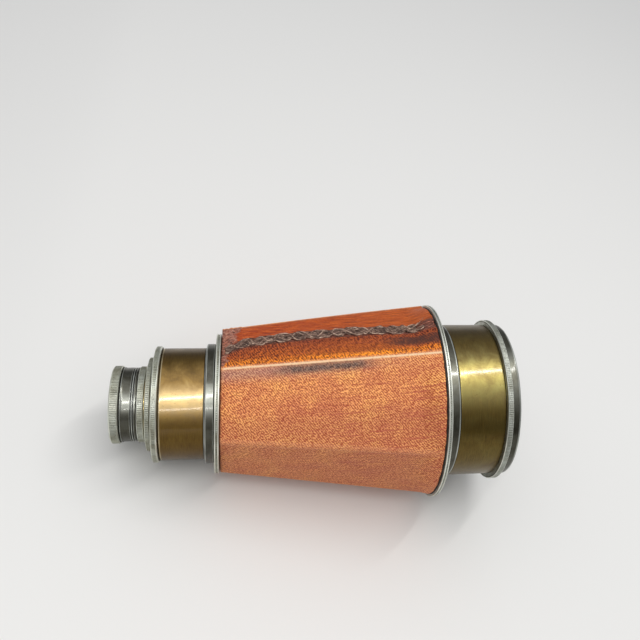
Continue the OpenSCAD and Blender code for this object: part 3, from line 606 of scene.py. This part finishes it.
def turned_piece(name, node, body, slot, shape, teeth=0, height=0.0, seed=0, around=240):
    """An outline carried round the axis. Where it is marked k, the radius drops by
    height times (0.5 - 0.5 cos(teeth a))^0.8, less deep in worn places."""
    around = max(around, teeth * 6)
    a = np.linspace(0, 2 * np.pi, around, endpoint=False)[None, :]
    z, r = np.array([[p[0]] for p in shape]), np.array([[p[1]] for p in shape])
    knurled, dark, rubbed = (np.array([[float(mark in p[2])] for p in shape]) for mark in "kdr")
    worn = 0.75 + 0.25 * np.sin(3 * a + seed) * np.sin(7 * a + 2 * seed) + 0.15 * np.sin(23 * a + seed)
    depth = knurled * (0.5 - 0.5 * np.cos(teeth * a)) ** 0.8 * worn
    points = round_axis(r - height * depth, a, z + 0 * a)
    # The first value below is painted shade, by the knurl's depth and the d marks.
    grid_piece(name, points, body, slot, [node], {
        "groove": np.clip(depth * 0.9 + dark + 0 * a, 0, 1),
        "rubbed": rubbed * (0.7 + 0.3 * np.sin(5 * a + seed) * np.sin(11 * a))})


def knurl(start, end, r, run_out=0.05):
    """Outline points of a knurled band whose teeth run out at both edges."""
    return [(start, r), (start + run_out, r, 0, "k"), (end - run_out, r, 0, "k"), (end, r)]


turned_piece("eye_rim_fine", "eye_rim", "draw_3", "worn_nickel", outline(
    (3.0, 15.55), (3.0, 6.0, 0.1, "d"), (2.1, 6.0, 0.2, "d"), (1.8, 6.3, 0.5, "d"), (0.25, 14.9, 0.3, "d"),
    (0.0, 15.7, 0.2), (0.0, 17.8, 0.35, "r"), (0.5, RIM_R - 0.1, 0.15, "r"), *knurl(0.75, 3.95, RIM_R),
    (4.1, 18.2, 0.15, "r"), (RIM_END, 17.7, 0.15, "d"), (RIM_END, 15.55)),
    teeth=133, height=0.24)

turned_piece("eyepiece_body_grooved", "eyepiece_body", "draw_3", "dark_nickel", outline(
    (3.0, 11.4), (3.0, 15.5), (RIM_END, 15.5), (RIM_END, 17.1, 0, "d"), (4.85, 17.1, 0.1, "d"),
    (4.95, 17.75, 0.1), (5.15, 17.85, 0.1, "r"), (5.4, 17.75, 0.1), (5.9, BODY_R, 0.3),
    (9.6, BODY_R, 0.06, "r"), (9.7, 17.15, 0.06, "d"), (10.1, 17.15, 0.06, "d"), (10.2, BODY_R, 0.06, "r"),
    (10.6, BODY_R, 0.06, "r"), (10.7, 17.15, 0.06, "d"), (11.1, 17.15, 0.06, "d"),
    (11.2, BODY_R, 0.06, "r"), (12.0, BODY_R, 0.1), (BODY_END, 17.3, 0.1, "d"), (BODY_END, 13.65),
    (23.2, 13.65), (23.2, 11.4)), around=320)

turned_piece("ring_a_worn", "draw_2_ferrule", "draw_2", "worn_nickel", outline(
    (RING_A_0, 14.5), (RING_A_0, 17.0, 0.1, "d"), (12.5, 17.7, 0.25, "r"), *knurl(12.85, 15.2, RING_A_R),
    (15.55, 17.8, 0.25, "r"), (RING_A_1, 17.0, 0.2, "d"), (RING_A_1, 16.4), (20.8, 16.4), (20.8, 15.5),
    (15.5, 15.5), (15.5, 14.5)), teeth=126, height=0.13, seed=1.3)

turned_piece("ring_b_worn", "draw_1_ferrule", "draw_1", "worn_nickel", outline(
    (RING_B_0, 17.3), (RING_B_0, 21.3, 0.1, "d"), (16.65, 22.0, 0.25, "r"), *knurl(16.95, 18.5, RING_B_R),
    (18.75, 22.05, 0.2, "r"), (RING_B_1, 21.4, 0.2, "d"), (RING_B_1, 20.2), (23.9, 20.2), (23.9, 19.3),
    (18.6, 19.3), (18.6, 17.3)), teeth=150, height=0.16, seed=2.1)

turned_piece("ring_c_flat", "end_cap", "barrel", "worn_nickel", outline(
    (RING_C_0, 21.1), (RING_C_0, 26.6, 0.1, "d"), (19.65, 27.3, 0.2, "r"), (20.0, RING_C_R, 0.2),
    *knurl(20.25, 21.8, RING_C_R), (21.95, RING_C_R, 0.1), (22.4, 27.4, 0.4, "r"),
    (EYE_COLLAR_0, 26.7, 0.2, "d"), (EYE_COLLAR_0, 25.5), (27.6, 25.5), (27.6, 24.3), (22.3, 24.3),
    (22.3, 21.1)), teeth=190, height=0.12, seed=0.7)

turned_piece("eye_collar_dented", "eye_collar", "barrel", "aged_brass", outline(
    (EYE_COLLAR_0, 25.55), (EYE_COLLAR_0, 26.25, 0, "d"), (23.1, 26.25, 0.1, "d"), (23.15, 26.4, 0.05),
    (23.45, EYE_COLLAR_R, 0.25, "r"), (24.0, EYE_COLLAR_R), (42.7, EYE_COLLAR_R), (43.2, EYE_COLLAR_R, 0.15),
    (EYE_BAND_0, 26.4, 0.1, "d"), (EYE_BAND_0, 26.25), (EYE_RING_1, 26.25), (EYE_RING_1, 25.35),
    (62.65, 25.35), (62.65, 24.35), (EYE_RING_0, 24.35), (43.95, 25.55)), around=480)

turned_piece("eye_band_dark", "eye_band", "barrel", "dark_nickel", outline(
    (EYE_BAND_0, 26.3), (EYE_BAND_0, 26.8, 0.05), (43.7, 27.0, 0.2, "r"), (43.95, 26.85, 0.05, "d"),
    (43.95, 28.3, 0.05), (44.2, EYE_BAND_R, 0.25, "r"), (47.8, EYE_BAND_R, 0.1, "r"),
    (47.95, 28.3, 0.1, "d"), (EYE_RING_0, 28.25, 0.05, "d"), (EYE_RING_0, 26.3)), around=480)

turned_piece("eye_ring_ridged", "eye_ring", "barrel", "worn_nickel", outline(
    (EYE_RING_0, 26.3), (EYE_RING_0, 33.1, 0.0, "d"), (48.5, 33.5, 0.1, "r"), (49.1, EYE_RING_R, 0.1, "r"),
    (49.2, 33.3, 0.05, "d"), *knurl(49.25, 49.85, 33.3), (49.9, 33.3, 0.05, "d"), (50.0, 33.5, 0.05, "r"),
    (50.5, 33.5, 0.1, "r"), (EYE_RING_1, 33.0, 0.1, "d"), (EYE_RING_1, 26.3)),
    teeth=200, height=0.26, seed=0.4)

turned_piece("objective_ring_ridged", "objective_ring", "barrel", "worn_nickel", outline(
    (BIG_RING_0, 37.05), (BIG_RING_0, 46.2, 0.0, "d"), (BIG_RING_0, 46.9), (153.8, 47.95, 0.1, "r"),
    (154.4, BIG_RING_R, 0.1, "r"), (154.5, 47.7, 0.05, "d"), *knurl(154.55, 155.0, 47.7),
    (155.05, 47.7, 0.05, "d"), (155.15, 47.93, 0.05, "r"), (155.6, 47.93, 0.1, "r"),
    (BIG_RING_1, 47.4, 0.1, "d"), (BIG_RING_1, 37.05)), teeth=290, height=0.26, seed=0.9)

turned_piece("objective_band_dark", "objective_band", "barrel", "dark_nickel", outline(
    (BIG_RING_1, 37.05), (BIG_RING_1, 37.9, 0, "d"), (156.2, 37.9, 0.1, "d"), (156.3, BIG_BAND_R, 0.1, "r"),
    (161.9, BIG_BAND_R, 0.3, "r"), (BIG_COLLAR_0, 37.9, 0.2, "d"), (BIG_COLLAR_0, 37.05)), around=480)

turned_piece("objective_collar_dented", "objective_collar", "barrel", "aged_brass", outline(
    (141.25, 34.3), (141.25, 35.3), (153.25, 35.3), (153.25, 37.0), (BIG_COLLAR_0, 37.0),
    (BIG_COLLAR_0, 37.6, 0.05, "d"), (162.6, BIG_COLLAR_R, 0.2), (163.1, BIG_COLLAR_R),
    (183.8, BIG_COLLAR_R), (184.3, BIG_COLLAR_R, 0.15), (CELL_0, 37.55, 0.1, "d"), (CELL_0, 36.7),
    (165.35, 36.7), (165.35, 35.7), (BIG_RING_1, 35.7), (BIG_RING_0, 34.3)), around=480)

turned_piece("objective_cell_fine", "objective_cell", "barrel", "worn_nickel", outline(
    (CELL_0, 36.4), (CELL_0, 39.6, 0.1, "d"), (184.75, 40.1, 0.15, "r"), *knurl(185.0, 187.1, CELL_R),
    (187.35, 40.1, 0.15, "r"), (CELL_1, 39.5, 0.1, "d"), (CELL_1, 34.45), (172.55, 34.45),
    (172.55, 32.4), (171.35, 32.4), (171.35, 36.65), (184.4, 36.65)), teeth=290, height=0.16, seed=1.7)

turned_piece("bezel_rounded", "bezel", "barrel", "dark_nickel", outline(
    (181.95, 34.4), (CELL_1, 34.4), (CELL_1, 37.9, 0.05, "d"), (187.85, BEZEL_R, 0.15),
    (190.6, BEZEL_R, 0.2), (191.95, 37.85, 0.95, "r"), (191.9, 36.4, 0.3, "r"), (190.9, 35.6, 0.3),
    (CELL_1, 32.6, 0.3, "d"), (182.25, 32.6, 0, "d"), steps=6), around=480)


# Leather
def corner_radius(z):
    """Radius of the leather's corners, which grows evenly with the station."""
    return CORNER_0 + (CORNER_1 - CORNER_0) * (z - LEATHER_0) / (LEATHER_1 - LEATHER_0)


def barrel_skin(z, corner, share, turn=1.0):
    """Up and front of the leather, and of its outward normal, at station z: share of
    the way from one corner's centre to the next, out by the corners' rounding and the
    flat's crown. turn blends the normal round the corner. The back corner at the top
    stands out 2.5 mm at the eye end, less 1.3 times the square of the way along. Over
    the last 12 mm the flats swell to the circle through the corners."""
    wide = np.ndim(corner) > 0
    way = (z - LEATHER_0) / (LEATHER_1 - LEATHER_0)
    circle = corner_radius(z)
    raised = (BACK_OUT - BACK_LESS * way ** 2)[:, None] * (np.arange(6) == SEAM_CORNER)
    out = (circle - CORNER_ROUND)[:, None] + raised
    centre = np.stack([out * np.cos(CORNERS), out * np.sin(CORNERS)], -1)
    run = np.roll(centre, -1, 1) - centre
    facing = np.unwrap(np.arctan2(-run[..., 0], run[..., 1]), axis=1)
    before = np.roll(facing, 1, 1) - np.array([2 * np.pi, 0, 0, 0, 0, 0])
    angle = before[:, corner] * (1 - turn) + facing[:, corner] * turn
    normal = np.stack([np.cos(angle), np.sin(angle)], -1)
    share = share + 0 * angle
    crown = 4 * CROWN * share * (1 - share)
    spot = centre[:, corner] + share[..., None] * run[:, corner] + (CORNER_ROUND + crown)[..., None] * normal
    if wide:
        z, circle = z[:, None], circle[:, None]
    reach = np.linalg.norm(spot, axis=-1)
    swell = smooth((z - LEATHER_1 + SWELL) / SWELL) * np.clip((circle + 0.05) / reach - 1, 0, None)
    return spot * (1 + swell)[..., None], normal


def seam_share(z):
    """Where the seam runs on its facet: 0.50 - 0.34 way + 0.43 way^2, bent towards the
    front corner at the eye end."""
    way = (z - LEATHER_0) / (LEATHER_1 - LEATHER_0)
    return 0.50 - 0.34 * way + 0.43 * way ** 2 + 0.16 * np.exp(-((z - LEATHER_0) / 5.5) ** 2)


def facet_width(z):
    """About the flat width of the seam's facet, a little more than that of the others."""
    return corner_radius(z) - CORNER_ROUND + 1.0


def leather_columns(arc_steps=9, fine_flat=62, flat=40):
    """Corner, share of the flat and turn of the corner for each column, from a corner
    underneath: an arc at each corner and then the flat after it, finer on the two
    facets that show."""
    arc = np.linspace(0, 1, arc_steps)
    corner, share, turn = [], [], []
    for k in (3, 4, 5, 0, 1, 2):
        count = fine_flat if k in (SEAM_CORNER, 0) else flat
        corner += [k] * (arc_steps + count)
        share += [np.zeros(arc_steps), np.arange(1, count + 1) / (count + 1)]
        turn += [arc, np.ones(count)]
    return np.array(corner), np.concatenate(share), np.concatenate(turn)


def leather_rows(count=200):
    """Stations of the outer rows and how far each is curled in, by a quarter circle
    at both ends."""
    quarter = np.linspace(0, np.pi / 2, 7)[:-1]
    edge, curl = CURL * (1 - np.cos(quarter)), CURL * (1 - np.sin(quarter))
    middle = np.linspace(LEATHER_0 + CURL, LEATHER_1 - CURL, count)
    z = np.concatenate([LEATHER_0 + edge, middle, LEATHER_1 - edge[::-1]])
    return z, np.concatenate([curl, np.zeros(count), curl[::-1]])


def leather_relief(z, corner, share, turn):
    """Millimetres over the barrel's form, distance from the seam, and the flap: the
    leather dips along the seam, rises in lips beside it, puckers at each stitch, waves
    by sums of sines and wrinkles on the flap at the eye end."""
    seamed = (corner == SEAM_CORNER) & (share > 0)
    off = np.where(seamed, (share - seam_share(z)) * facet_width(z), 30.0)
    pull = 0.5 + 0.5 * np.cos(2 * np.pi * z / PUCKER)
    wave = np.sin(z * 0.21 + share * 5) * np.sin(share * 13 + corner) + 0.6 * np.sin(z * 0.083 + corner * 1.7)
    edge = 9.0 - 7.5 * share - (z - LEATHER_0) + 0.8 * np.sin(share * 23) + 0.5 * np.sin(share * 51 + 1)
    flap = np.where(seamed | ((corner == SEAM_CORNER) & (turn > 0.4)), smooth(edge / 0.8 + 0.5), 0)
    wrinkle = np.sin(z * 1.9 + 9 * share) * np.sin(share * 37 - z * 0.6) + 0.5 * np.sin(z * 3.1 - 21 * share)
    dip = -0.5 * np.exp(-(off / 1.8) ** 2) - 0.14 * pull * np.exp(-(off / 6) ** 2)
    lips = 0.22 * np.exp(-((np.abs(off) - 4.8) / 1.0) ** 2) * (0.6 + 0.4 * pull)
    waves = 0.10 * wave * np.sin(np.pi * share) ** 0.5
    return waves + dip + lips + flap * (0.22 + 0.16 * wrinkle), off, flap


def leather_cover():
    """The leather as a grid: rows of stations by columns that go round corner by
    corner, with ragged ends. The last three rows are its inner side."""
    corner, share, turn = leather_columns()
    z, curl = leather_rows()
    row_z = z[:, None]
    spot, normal = barrel_skin(z, corner, share, turn)
    lift, off, flap = leather_relief(row_z, corner, share, turn)
    spot = spot + (lift - curl[:, None])[..., None] * normal
    ragged = 0.10 * np.sin(share * 31 + corner) + 0.07 * np.sin(share * 73)
    at_end = np.exp(-((row_z - LEATHER_0) / 1.2) ** 2) + np.exp(-((row_z - LEATHER_1) / 1.2) ** 2)
    outer_z = np.clip(row_z + ragged * at_end, LEATHER_0, LEATHER_1)

    inner_z = np.array([LEATHER_1, (LEATHER_0 + LEATHER_1) / 2, LEATHER_0])[:, None]
    inner_r = corner_radius(inner_z) - INNER_DEPTH
    start, end = CORNERS[corner], CORNERS[corner] + np.radians(60)
    inner_up = inner_r * ((1 - share) * np.cos(start) + share * np.cos(end))
    inner_front = inner_r * ((1 - share) * np.sin(start) + share * np.sin(end))
    up = np.concatenate([spot[..., 0], inner_up])
    front = np.concatenate([spot[..., 1], inner_front])
    station = np.concatenate([outer_z, inner_z + 0 * inner_up])
    points = lay_down(-up, -front, station)

    steps = np.hypot(*(np.roll(part, -1, 1) - part for part in (up, front)))
    girth = np.concatenate([np.zeros((len(up), 1)), np.cumsum(steps, 1)], 1)
    first = np.flatnonzero((corner == 0) & (share == 0))
    girth = girth - girth[:, first[len(first) // 2]][:, None]
    uv = np.stack(np.broadcast_arrays(girth, np.concatenate([row_z, inner_z])), -1)
    uv = np.concatenate([uv, uv[-1:]])
    to_corner = np.minimum(share, 1 - share) * facet_width(row_z)
    values = {"from_seam": off, "to_corner": to_corner, "flap": flap}
    values = {key: np.concatenate([grid, 30.0 + 0 * inner_up]) for key, grid in values.items()}
    values["flap"][-3:] = 0
    grid_piece("leather_cover_sewn", points, "barrel", "tan_leather", ["leather_cover"], values, uv)


leather_cover()


# Seam
def over_seam(z, side, height):
    """A point side millimetres across the seam from its middle line, towards the
    front corner, and height over the leather."""
    spot, normal = barrel_skin(z, SEAM_CORNER, seam_share(z) + side / facet_width(z))
    spot = spot + (height - SUNK)[:, None] * normal
    return lay_down(-spot[:, 0], -spot[:, 1], z)


def tubes(name, threads, replaced, sides):
    """Round tubes along many paths at once. threads holds path, radius and tone of
    each. Each ring lies in the plane of two cross products, of the tangent with a
    fixed up and of that with the tangent."""
    paths, radii, yarn = (np.array(part) for part in zip(*threads))
    count, steps = paths.shape[:2]
    tangent = np.gradient(paths, axis=1)
    tangent /= np.linalg.norm(tangent, axis=-1, keepdims=True)
    facing = CORNERS[SEAM_CORNER] + np.radians(30)
    side = np.cross(tangent, lay_down(-np.cos(facing), -np.sin(facing), 0.0) - lay_down(0.0, 0.0, 0.0))
    side /= np.linalg.norm(side, axis=-1, keepdims=True)
    over = np.cross(side, tangent)
    turn = np.linspace(0, 2 * np.pi, sides, endpoint=False)[:, None]
    ring = paths[:, :, None] + (radii * 0.001)[..., None, None] * (
        np.cos(turn) * side[:, :, None] + np.sin(turn) * over[:, :, None])
    index = np.arange(count * steps * sides).reshape(count, steps, sides)
    beside = np.roll(index, -1, 2)
    quads = np.stack([index[:, :-1], index[:, 1:], beside[:, 1:], beside[:, :-1]], -1).reshape(-1, 4)
    faces = quads.tolist() + index[:, 0].tolist() + index[:, -1, ::-1].tolist()
    lengths = np.cumsum(np.linalg.norm(np.diff(paths, axis=1), axis=-1), 1)
    run = np.concatenate([np.zeros((count, 1)), lengths], 1)
    place = np.stack(np.broadcast_arrays(turn[:, 0] + 9.0 * np.arange(count)[:, None, None],
                                         1000 * run[..., None]), -1).reshape(-1, 2)
    corners = np.concatenate([np.array(face) for face in faces])
    new_piece(name, ring, faces, "barrel", "seam_thread", {"yarn": yarn[:, None, None]}, place[corners],
              replaced)


def seam_plait():
    """Ten yarns that swing across the seam as share x |sin(phase)|^0.8 with the sign of
    the sine, so that both halves cross at every zero and bulge into a chain of loops
    between; each half goes over at every second crossing. Four more wander through at
    other pitches. Two knots swell the chain."""
    z = np.linspace(LEATHER_0 + 2.0, LEATHER_1 - 8.5, 440)
    knots = 1 + 0.22 * sum(np.exp(-((z - at) / 3.0) ** 2) for at in (77.0, 139.0))
    threads = []
    loop = np.pi * z / LOOP + 0.35 * np.sin(z * 0.29) + 0.2 * np.sin(z * 0.71 + 1)
    for half in (1, -1):
        for k, (part, tone) in enumerate(((1.0, 0.95), (0.84, 0.1), (0.62, 0.6), (0.4, 0.0), (0.18, 0.35))):
            phase = loop + 0.3 * np.sin(z * 0.53 + 2 * k + half)
            bulge = np.sign(np.sin(phase)) * np.abs(np.sin(phase)) ** 0.8
            side = HALF_SEAM * half * part * knots * bulge + 0.25 * np.sin(z * 1.3 + 1.7 * k + half)
            rise = 0.42 + 0.22 * half * np.cos(phase) * part + 0.16 * np.abs(np.sin(phase)) * knots
            radius = 0.27 + 0.06 * np.sin(z * 0.9 + 2 * k + half)
            threads.append((over_seam(z, side, rise), radius, tone))
    for k, (pitch, tone) in enumerate(((13.0, 0.95), (11.2, 0.1), (15.5, 0.6), (7.9, 0.3))):
        phase = 2 * np.pi * z / pitch + 1.9 * k + 0.5 * np.sin(z * 0.37 + k)
        side = 3.0 * knots * np.arcsin(0.9 * np.sin(phase)) / math.asin(0.9) + 0.3 * np.sin(z * 0.47 + k)
        rise = 0.62 + 0.24 * np.sin(1.5 * phase + k)
        threads.append((over_seam(z, side, rise), 0.24 + 0.05 * np.sin(z * 1.1 + 2 * k), tone))
    tubes("seam_plait", threads, ["seam_stitches"], sides=6)


def seam_loose_ends():
    """Loose ends as short arcs with drawn places and sizes, and the thread's last turns
    at the wide end: two strands that cross, a loop of 0.8 turn and a tail."""
    spread = np.random.default_rng(11)
    threads = []
    t = np.linspace(0, 1, 12)
    for at in np.linspace(LEATHER_0 + 1.5, LEATHER_1 - 12, 96):
        start, aim, length = spread.uniform(-3.2, 3.2), spread.uniform(-1.0, 1.0), spread.uniform(2.0, 5.0)
        bend, hop = spread.uniform(-0.9, 0.9), spread.uniform(0.2, 0.6)
        side = start + aim * length * 0.6 * t + bend * np.sin(np.pi * t)
        rise = 0.5 + hop * np.sin(np.pi * t ** 0.7) - 0.3 * t
        threads.append((over_seam(at + length * t, side, rise), 0.19 * (1 - 0.6 * t), spread.uniform(0, 1)))
    last = LEATHER_1 - 10.5
    for lean, tone in ((1, 1.0), (-1, 0.8)):
        side = lean * (3.4 - 6.4 * t) * (0.55 + 0.45 * t)
        strand = over_seam(last - 5.0 + 8.5 * t, side, 0.9 + 0.2 * np.sin(6 * t))
        threads.append((strand, 0.30 - 0.08 * t, tone))
    a = t * 1.6 * np.pi
    loop = over_seam(last + 3.2 - 2.1 * np.cos(a), 1.9 + 1.1 * np.sin(a), 0.8 + 0 * t)
    tail = over_seam(last + 2.0 + 4.6 * t, -1.5 - 4.4 * t ** 1.5, 0.5 + 0.2 * np.sin(5 * t))
    threads += [(loop, 0.28 + 0 * t, 1.0), (tail, 0.26 - 0.12 * t, 0.7)]
    tubes("seam_loose_ends", threads, [], sides=5)


seam_plait()
seam_loose_ends()


# CAD nodes
for node in frame["nodes"].values():
    for socket in node.material_slots:
        socket.material = MATERIALS[socket.material.name.split(".")[0]]


# Stage
def floor(half=12, slope=0.23, rounding=0.006, bends=(-0.125, -0.72)):
    """A pale sheet: level under and in front of the barrel, lower past the eye end,
    where the drawn tubes hang below the rings, and level again beyond them. Each bend
    is sqrt(rise^2 + rounding^2). The sheet is finer between the bends."""
    x = np.concatenate([np.linspace(-half, -1.0, 12), np.linspace(-0.98, -0.1, 90),
                        np.linspace(-0.09, half, 24)])
    y = np.linspace(-half, half, 25)
    near, beyond = (np.sqrt((slope * np.clip(at - x, 0, None)) ** 2 + rounding ** 2) for at in bends)
    z = beyond - near
    points = np.stack(np.broadcast_arrays(x[:, None], y[None, :], z[:, None]), -1)
    index = np.arange(points.size // 3).reshape(points.shape[:2])
    quads = np.stack([index[:-1, :-1], index[1:, :-1], index[1:, 1:], index[:-1, 1:]], -1).reshape(-1, 4)
    obj = new_object("floor", points, quads.tolist())
    material = bpy.data.materials.new("floor_paper")
    material.use_nodes = True
    shader = material.node_tree.nodes["Principled BSDF"]
    shader.inputs["Base Color"].default_value = (0.80, 0.795, 0.78, 1)
    shader.inputs["Roughness"].default_value = 0.9
    shader.inputs["Specular IOR Level"].default_value = 0.1
    obj.data.materials.append(material)


def strip_lamp(name, start, end, width, power, shade, target=(0.0, 0.0, 0.03)):
    """A long narrow lamp from start to end whose face is turned to the target."""
    start, end, target = Vector(start), Vector(end), Vector(target)
    middle, along = (start + end) / 2, (end - start).normalized()
    back = middle - target
    back = (back - back.dot(along) * along).normalized()
    data = bpy.data.lights.new(name, "AREA")
    data.shape = "RECTANGLE"
    data.size, data.size_y = width, (end - start).length
    data.energy, data.color = power, shade
    obj = bpy.data.objects.new(name, data)
    bpy.context.collection.objects.link(obj)
    turn = Matrix((along.cross(back), along, back)).transposed().to_4x4()
    obj.matrix_world = Matrix.Translation(middle) @ turn


def world():
    """Soft light from above: the sky's strength falls evenly from the zenith to the
    horizon, as under a large overhead softbox."""
    sky = bpy.data.worlds.new("studio")
    bpy.context.scene.world = sky
    sky.use_nodes = True
    n = Nodes(sky.node_tree)
    background = sky.node_tree.nodes["Background"]
    background.inputs["Color"].default_value = (0.97, 0.98, 1.0, 1)
    parts = n.add("ShaderNodeSeparateXYZ")
    n.link(n.add("ShaderNodeTexCoord").outputs["Generated"], parts.inputs[0])
    n.put(background.inputs["Strength"], n.line(n.band(parts.outputs["Z"], -0.1, 0.95), 0.76, 0.12))


floor()
strip_lamp("strip_front", (-0.48, -0.676, 0.86), (0.46, 0.275, 0.86), width=0.032, power=3.6,
           shade=(1.0, 0.99, 0.96))
strip_lamp("strip_low", (-0.5, -1.27, 0.86), (-0.02, -0.711, 0.86), width=0.02, power=0.9,
           shade=(1.0, 0.98, 0.94))
world()

# The photograph in pixels: side of the square picture, focal length, and the point that
# the lens looks at
PICTURE, FOCAL = 640, 777.83
CENTRE_X, CENTRE_Y = 369.79, 251.67
SENSOR = 36


def camera():
    """The photograph's viewpoint, worked out from the rims of the spyglass: the eye,
    and the directions of the picture's right, down and depth."""
    data = bpy.data.cameras.new("camera")
    data.sensor_width = SENSOR
    data.lens = FOCAL / PICTURE * SENSOR
    data.shift_x = (PICTURE / 2 - CENTRE_X) / PICTURE
    data.shift_y = (CENTRE_Y - PICTURE / 2) / PICTURE
    data.clip_start, data.clip_end = 0.01, 50
    obj = bpy.data.objects.new("camera", data)
    bpy.context.collection.objects.link(obj)
    right = Vector((0.96030469, -0.11547498, 0.25392997))
    down = Vector((0.11490205, -0.66574357, -0.73728082))
    ahead = Vector((0.25418973, 0.73719131, -0.62604836))
    eye = Vector((-0.08161286, -0.24143094, 0.34678806))
    turn = Matrix((right, -down, -ahead)).transposed().to_4x4()
    obj.matrix_world = Matrix.Translation(eye) @ turn
    bpy.context.scene.camera = obj


camera()
bpy.context.scene.view_settings.view_transform = "Standard"

bpy.context.view_layer.update()
